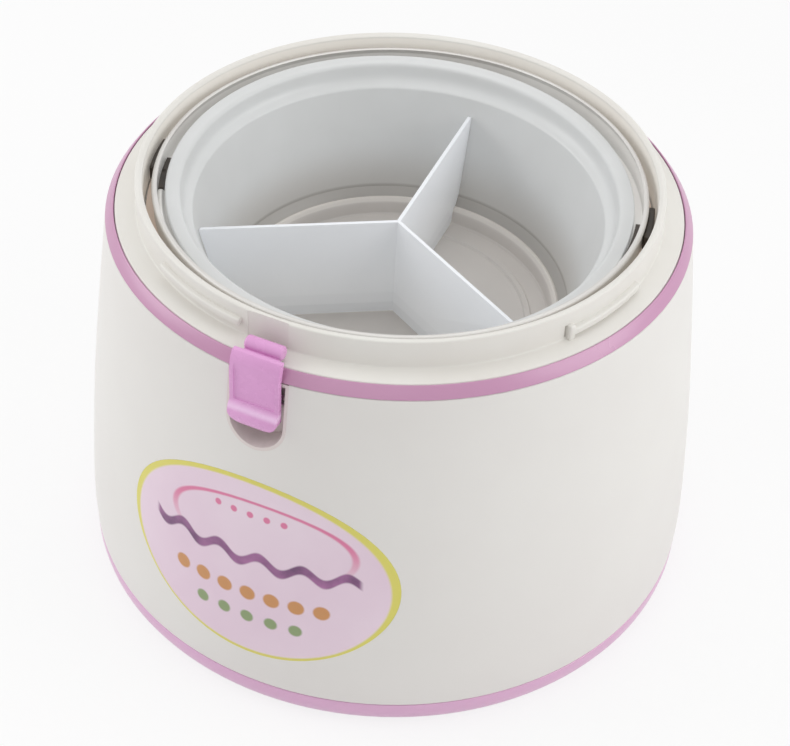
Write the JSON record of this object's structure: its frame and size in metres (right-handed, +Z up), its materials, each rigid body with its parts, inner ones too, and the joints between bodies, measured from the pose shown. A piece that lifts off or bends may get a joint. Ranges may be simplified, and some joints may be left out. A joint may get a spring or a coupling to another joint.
{
  "type": "thermal cooker",
  "caption": "Round insulated food cooker base with a turn-on lid neck, press latch, lift-out steel pot with bail, and a lift-out divided food tray.",
  "frame": {"origin": "centre of the footprint, on the surface the feet stand on", "axes": "+Z up, along the axis of the pot and neck; the latch faces -Y"},
  "size_m": [0.2836, 0.2836, 0.2],
  "materials": {
    "white_shell": "satin moulded white plastic",
    "cream_collar": "satin moulded cream plastic",
    "pink_plastic": "glossy moulded pink plastic",
    "steel": "turned stainless steel",
    "foam": "rigid insulating foam",
    "rubber": "matte silicone rubber",
    "clear_tray": "milky translucent plastic",
    "dark_fitting": "dark heat-proof plastic",
    "label": "printed film with a yellow edge"
  },
  "bodies": {
    "housing": {"outer_shell": "white_shell", "label_plate": "label", "trim_band": "pink_plastic", "neck_collar": "cream_collar", "base_ring": "pink_plastic", "bottom_cover": "white_shell", "foam_base": "foam", "foam_jacket": "foam", "liner": "steel", "liner_gasket": "rubber", "pot_rest": "rubber", "latch_pocket": "cream_collar", "latch_pin": "steel", "latch_spring": "steel", "base_screw_1": "steel", "base_screw_2": "steel", "base_screw_3": "steel", "base_screw_4": "steel", "foot_1": "rubber", "foot_2": "rubber", "foot_3": "rubber", "foot_4": "rubber"},
    "latch": {"latch_lever": "pink_plastic"},
    "pot": {"pot": "steel", "bail_pin_left": "steel", "bail_pin_right": "steel", "bail_ear_left": "dark_fitting", "bail_ear_right": "dark_fitting"},
    "bail": {"bail_wire": "steel", "bail_end_left": "dark_fitting", "bail_end_right": "dark_fitting"},
    "tray": {"tray": "clear_tray"},
    "divider": {"divider": "clear_tray"}
  },
  "joints": [
    {"name": "latch_press", "type": "hinge", "parent": "housing", "child": "latch", "pos_m": [0, -0.125, 0.168], "axis": [1, 0, 0], "range_deg": [0, 12], "stiffness_Nm_per_rad": 0.06, "springref_deg": -17.19, "deforming": ["latch_spring"]},
    {"name": "pot_lift", "type": "slide", "parent": "housing", "child": "pot", "axis": [0, 0, 1], "range_m": [0, 0.19]},
    {"name": "bail_swing", "type": "hinge", "parent": "pot", "child": "bail", "pos_m": [0, 0, 0.1877], "axis": [-0.9659, -0.2588, 0], "range_deg": [0, 180]},
    {"name": "tray_lift", "type": "slide", "parent": "pot", "child": "tray", "axis": [0, 0, 1], "range_m": [0, 0.095]},
    {"name": "divider_lift", "type": "slide", "parent": "tray", "child": "divider", "axis": [0, 0, 1], "range_m": [0, 0.085]}
  ]
}
